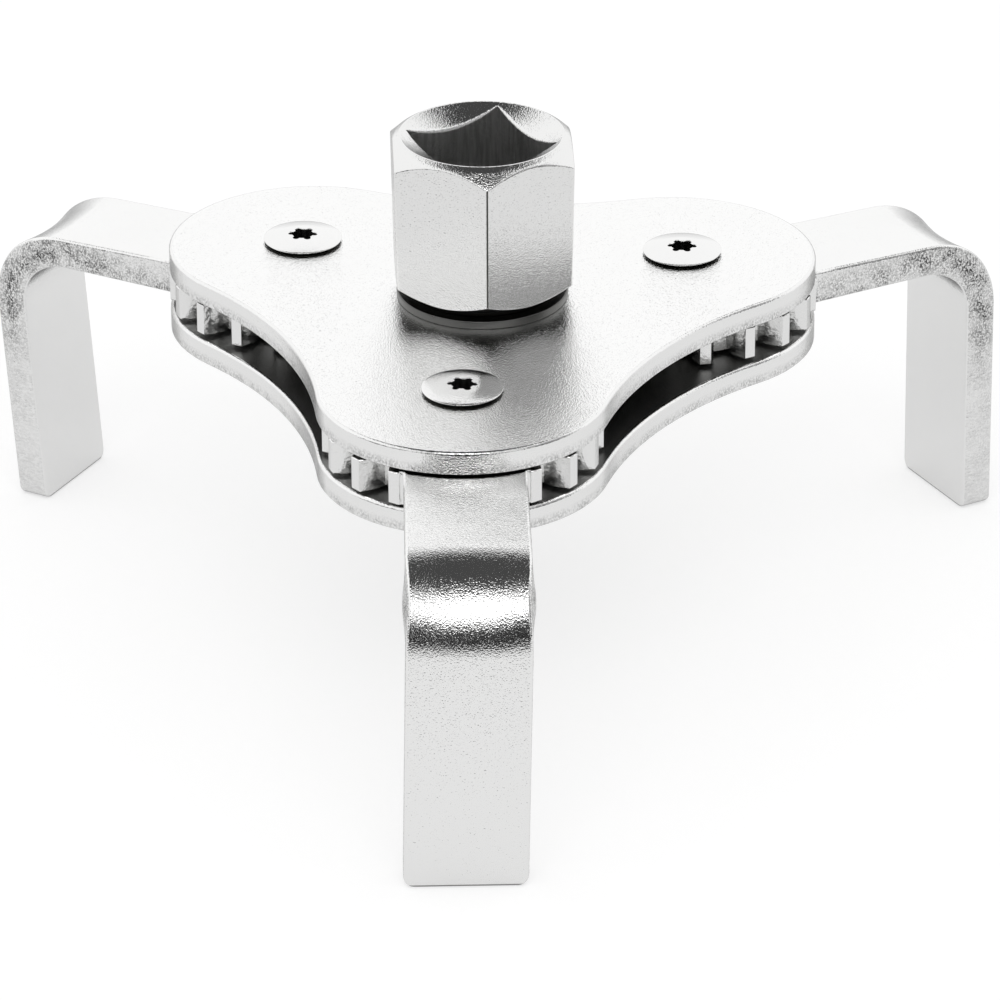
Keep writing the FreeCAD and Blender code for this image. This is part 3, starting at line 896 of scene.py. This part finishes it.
hub_low, hub_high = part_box("drive_hub")
hex_top = hub_high.z
hex_bottom = 42.95 * mm
hex_angle = -82.0
hex_flats_top = 21.0 * mm
hex_flats_foot = 20.5 * mm
hex_corner_round = 0.35 * mm
top_rim_radius = 9.7 * mm
top_shoulder_radius = 10.3 * mm
top_shoulder = hex_top - 0.35 * mm
top_chamfer_slope = 1.08
foot_rim_radius = 10.2 * mm
foot_chamfer_slope = (hex_flats_foot / math.sqrt(3) - foot_rim_radius) / (1.25 * mm)
mouth_radius = 9.5 * mm
mouth_slope = math.tan(math.radians(62.0))
socket_half = 6.4 * mm
socket_corner_round = 0.12 * mm
socket_angle = hex_angle + 120 + 45
socket_floor = hex_top - 15.5 * mm
break_edge = 0.16 * mm
lip_edge = 0.40 * mm
hub_directions = 144

shaft_edge = 0.05 * mm
shaft_radius = 6.0 * mm
shaft_chamfer = 0.5 * mm
ring_groove_radius = 5.5 * mm
ring_groove_low = 28.05 * mm
ring_groove_high = 29.15 * mm
gear_seat_low = 33.05 * mm
gear_seat_high = 37.95 * mm
gear_seat_radius = 7.3 * mm
gear_seat_half_flats = 6.2 * mm
journal_radius = 8.0 * mm
journal_top = 41.80 * mm
neck_radius = 8.7 * mm

on_walls = height_fade(socket_shade_steel, none_at=socket_floor - 1.0 * mm, full_at=socket_floor)
add_marks(socket_shade_steel, on_walls, stretch=(1.0, 1.0, 0.12), size=0.55 * mm, height=0.03 * mm, pitted=0.30)


def polygon_radius(angle, corner_angle, sides, half_flats, corner_round):
    """Distance from the axis to a polygon's side, with its corners rounded off."""
    step = 360.0 / sides
    off = (angle - corner_angle + step / 2) % step - step / 2
    off = abs(math.radians(off))
    half_step = math.radians(step / 2)
    flat = half_flats / math.cos(half_step - off)
    centre = (half_flats - corner_round) / math.cos(half_step)
    reach = corner_round ** 2 - (centre * math.sin(off)) ** 2
    if reach <= 0:
        return flat
    rounded = centre * math.cos(off) + math.sqrt(reach)
    touch = math.atan2(corner_round * math.sin(half_step), centre + corner_round * math.cos(half_step))
    return rounded if off < touch else flat


def eased(points, ease):
    """Rounds each inner corner of an open profile off by a small arc of five points."""
    result = [points[0]]
    for before, corner, after in zip(points, points[1:], points[2:]):
        to_before = before - corner
        to_after = after - corner
        reach = min(ease, to_before.length * 0.45, to_after.length * 0.45)
        start = corner + to_before.normalized() * reach
        end = corner + to_after.normalized() * reach
        for t in (0.0, 0.25, 0.5, 0.75, 1.0):
            result.append(start * (1 - t) ** 2 + corner * 2 * t * (1 - t) + end * t ** 2)
    result.append(points[-1])
    return result


def hub_profile(angle):
    """Outline of the hub from the shaft's foot to the socket's floor in one direction."""
    hex_high = polygon_radius(angle, hex_angle, 6, hex_flats_top / 2, hex_corner_round)
    hex_low = polygon_radius(angle, hex_angle, 6, hex_flats_foot / 2, hex_corner_round)
    top_break = top_shoulder - (hex_high - top_shoulder_radius) / top_chamfer_slope
    foot_break = hex_bottom + (hex_low - foot_rim_radius) / foot_chamfer_slope
    square = polygon_radius(angle, socket_angle, 4, socket_half, socket_corner_round)
    mouth_end = hex_top - (mouth_radius - square) / mouth_slope
    mouth_middle = Vector(((mouth_radius + square) / 2, (hex_top + mouth_end) / 2))
    outside = eased([
        Vector((neck_radius, hex_bottom)),
        Vector((foot_rim_radius, hex_bottom)),
        Vector((hex_low, foot_break)),
        Vector((hex_high, top_break)),
        Vector((top_shoulder_radius, top_shoulder)),
        Vector((top_rim_radius, hex_top)),
        Vector((mouth_radius, hex_top)),
        mouth_middle,
    ], break_edge)
    inside = eased([
        mouth_middle,
        Vector((square, mouth_end)),
        Vector((square, socket_floor)),
        Vector((0.0, socket_floor)),
    ], lip_edge)
    return outside + inside[1:]


def hub_angles():
    """Directions round the hub, closer together near the corners of the hexagon and the square."""
    angles = {round(360.0 * k / hub_directions, 3) for k in range(hub_directions)}
    fine = (0.0, 0.5, 1.0, 1.5, 1.9)
    corners = [hex_angle + 60 * k for k in range(6)]
    corners += [socket_angle + 90 * k for k in range(4)]
    for corner in corners:
        for off in fine:
            angles.update({round((corner + side * off) % 360, 3) for side in (-1, 1)})
    return sorted(angles)


def shaft_profile(angle):
    """The hidden shaft below the hexagon, with two flats for the sun gear, up to the shoulder."""
    facing = max(abs(math.cos(math.radians(angle))), 0.001)
    seat = min(gear_seat_radius, gear_seat_half_flats / facing)
    foot = hub_low.z
    return eased([Vector(point) for point in (
        (0.0, foot),
        (shaft_radius - shaft_chamfer, foot),
        (shaft_radius, foot + shaft_chamfer),
        (shaft_radius, ring_groove_low),
        (ring_groove_radius, ring_groove_low),
        (ring_groove_radius, ring_groove_high),
        (shaft_radius, ring_groove_high),
        (shaft_radius, gear_seat_low),
        (seat, gear_seat_low),
        (seat, gear_seat_high),
        (journal_radius, gear_seat_high),
        (journal_radius, journal_top),
        (neck_radius, journal_top),
        (neck_radius, hex_bottom),
    )], shaft_edge)


corner_reflection_from = -0.3
corner_reflection_to = 0.6
hub_finishes = [hub_nickel, socket_shade_steel, painted_shade_black, corner_dark_reflection]
socket_wall, underside, front_corner = range(1, len(hub_finishes))

columns = []
for angle in hub_angles():
    profile = shaft_profile(angle) + hub_profile(angle)
    columns.append([polar(point.x, angle, point.y) for point in profile])
hub_rings = [[column[k] for column in columns] for k in range(len(columns[0]))]
hub_mesh = tube(hub_rings, capped=True)
bmesh.ops.recalc_face_normals(hub_mesh, faces=hub_mesh.faces)
for face in hub_mesh.faces:
    middle = face.calc_center_median()
    radius = math.hypot(middle.x, middle.y)
    upright = abs(face.normal.z) < 0.2
    off_front_corner = math.degrees(math.atan2(middle.y, middle.x)) - hex_angle
    # Socket walls and floor get the painted shade.
    if radius < mouth_radius - 0.3 * mm and middle.z > socket_floor - 0.1 * mm:
        if upright or middle.z < socket_floor + 0.2 * mm:
            face.material_index = socket_wall
    # Faces under the hexagon get the painted shade.
    elif middle.z < hex_bottom or face.normal.z < -0.5:
        face.material_index = underside
    # A thin strip down the front corner gets the painted dark reflection.
    elif upright and corner_reflection_from < off_front_corner < corner_reflection_to:
        face.material_index = front_corner
hub = finished("hub", hub_mesh, hub_finishes)
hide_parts("drive_hub")
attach(hub, "hub")


# ---- Washer under the hub -----------------------------------------------------------------------
# A turned washer of plain dark steel between the hub and the upper plate, oily and unplated.

washer_low, washer_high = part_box("hub_washer")
washer_overhang = 0.75 * mm
washer_radius = washer_high.x + washer_overhang
washer_bore_radius = 8.05 * mm
washer_edge = 0.18 * mm
washer_sides = 72
washer_section = [
    (washer_bore_radius, washer_low.z),
    (washer_radius, washer_low.z),
    (washer_radius, washer_high.z),
    (washer_bore_radius, washer_high.z),
    (washer_bore_radius, washer_low.z),
]
washer_profile = eased([Vector(point) for point in washer_section], washer_edge)
washer_rings = [[polar(point.x, 360.0 * k / washer_sides, point.y) for k in range(washer_sides)]
                for point in washer_profile]
washer_mesh = tube(washer_rings, capped=False)
washer = finished("dark_washer", washer_mesh, [dark_steel_and_recess_shade])
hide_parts("hub_washer")
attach(washer, "housing")


# ---- Pivot screws -------------------------------------------------------------------------------
# Cold-headed screws with a low domed flange and a six-lobe recess, bright plated. Each is one
# sixth of a turn repeated round its axis.

screw_nickel = nickel("screw_nickel", tone=0.93, roughness=0.14, grain_size=0.22 * mm,
                      grain_height=0.010 * mm, wave_height=0.010 * mm)

screw_low, screw_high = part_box("front_pivot_screw")
plate_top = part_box("top_plate")[1].z
head_radius = 4.7 * mm
head_edge = 0.45 * mm
head_rise = screw_high.z - plate_top - head_edge
recess_floor = screw_high.z - 1.9 * mm
recess_lobe_centre = 1.30 * mm
recess_lobe_radius = 0.42 * mm
recess_core_radius = 1.25 * mm
screw_radius = 2.5 * mm
screw_chamfer = 0.3 * mm
screw_edge = 0.12 * mm
recess_reach = 1.9 * mm
recess_top = screw_high.z - 0.35 * mm
flange_undercut = 0.40 * mm
flange_wall = 0.38 * mm
sector_steps = 12


def recess_radius(angle):
    """Six-lobe recess: a core circle with round lobes in it."""
    off = (angle + 30.0) % 60.0 - 30.0
    across = recess_lobe_centre * math.sin(math.radians(off))
    if abs(across) >= recess_lobe_radius:
        return recess_core_radius
    along = recess_lobe_centre * math.cos(math.radians(off))
    return max(recess_core_radius, along + math.sqrt(recess_lobe_radius ** 2 - across ** 2))


def dome_height(radius):
    return plate_top + head_edge + head_rise * (1 - (radius / head_radius) ** 2)


def screw_profile(angle):
    """Outline from the screw's lower end over the flange and the dome to the recess's floor."""
    recess = recess_radius(angle)
    points = [
        (0.0, screw_low.z),
        (screw_radius - screw_chamfer, screw_low.z),
        (screw_radius, screw_low.z + screw_chamfer),
        (screw_radius, plate_top),
        (head_radius - flange_undercut, plate_top),
        (head_radius, plate_top + flange_wall),
    ]
    for share in (1.0, 0.93, 0.8, 0.65, 0.55):
        points.append((head_radius * share, dome_height(head_radius * share)))
    points += [(recess, dome_height(recess)), (recess, recess_floor), (0.0, recess_floor)]
    return eased([Vector(point) for point in points], screw_edge)


def screw_sector():
    """One sixth of the screw, as columns of points side by side."""
    bm = bmesh.new()
    columns = []
    for k in range(sector_steps + 1):
        angle = 60.0 * k / sector_steps
        columns.append([bm.verts.new(polar(p.x, angle, p.y)) for p in screw_profile(angle)])
    for left, right in zip(columns, columns[1:]):
        for k in range(len(left) - 1):
            bm.faces.new((left[k], right[k], right[k + 1], left[k + 1]))
    return bm


screw_finishes = [screw_nickel, painted_shade_black, dark_steel_and_recess_shade]
bright_face, under_head, in_recess = range(len(screw_finishes))

for lobe in lobe_angles:
    turned = repeated_round(f"{lobe}_screw", screw_sector(), 6, screw_nickel)
    bm = bmesh.new()
    bm.from_mesh(turned.data)
    bpy.data.objects.remove(turned)
    bmesh.ops.remove_doubles(bm, verts=bm.verts, dist=2 * sector_weld_distance)
    bmesh.ops.dissolve_degenerate(bm, edges=bm.edges, dist=sector_weld_distance)
    for face in bm.faces:
        middle = face.calc_center_median()
        radius = math.hypot(middle.x, middle.y)
        # The recess walls and floor get painted shade.
        if radius < recess_reach and recess_floor - 0.1 * mm < middle.z < recess_top:
            face.material_index = in_recess
        # The flange wall under each head gets the painted shade.
        elif radius > head_radius - 0.5 * mm and middle.z < plate_top + flange_wall - 0.02 * mm:
            face.material_index = under_head
        else:
            face.material_index = bright_face
    screw = finished(f"{lobe}_screw", bm, screw_finishes)
    pivot = Vector(joints[f"{lobe}_arm_swing"]["pos_m"])
    screw.data.transform(Matrix.Translation(pivot))
    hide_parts(f"{lobe}_pivot_screw")
    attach(screw, "housing")


# ---- Nuts, sleeves, washers, gear and ring --------------------------------------------------------
# Inside and under the plates: plated nuts on the screws, and oiled machined steel for the sleeves,
# thrust washers, sun gear, lower washer and spring ring. The dark grey of the sleeves, thrust washers,
# sun gear and lower washer is partly painted shade for the gap between the plates.

inner_steel = nickel("inner_steel", tone=0.18, roughness=0.35, grain_size=0.25 * mm,
                     grain_height=0.010 * mm, wave_height=0.010 * mm)
spring_steel = nickel("spring_steel", tone=0.10, roughness=0.40, grain_size=0.25 * mm,
                      grain_height=0.008 * mm, wave_height=0.010 * mm)


def refinish(node, material):
    """Gives a hidden piece its material and leaves its shape."""
    slots = nodes[node].data.materials
    if len(slots):
        for k in range(len(slots)):
            slots[k] = material
    else:
        slots.append(material)


for lobe in lobe_angles:
    refinish(f"{lobe}_pivot_nut", screw_nickel)
    for node in ("pivot_sleeve", "upper_washer", "lower_washer"):
        refinish(f"{lobe}_{node}", inner_steel)
refinish("sun_gear", inner_steel)
refinish("lower_washer", inner_steel)
refinish("retaining_ring", spring_steel)
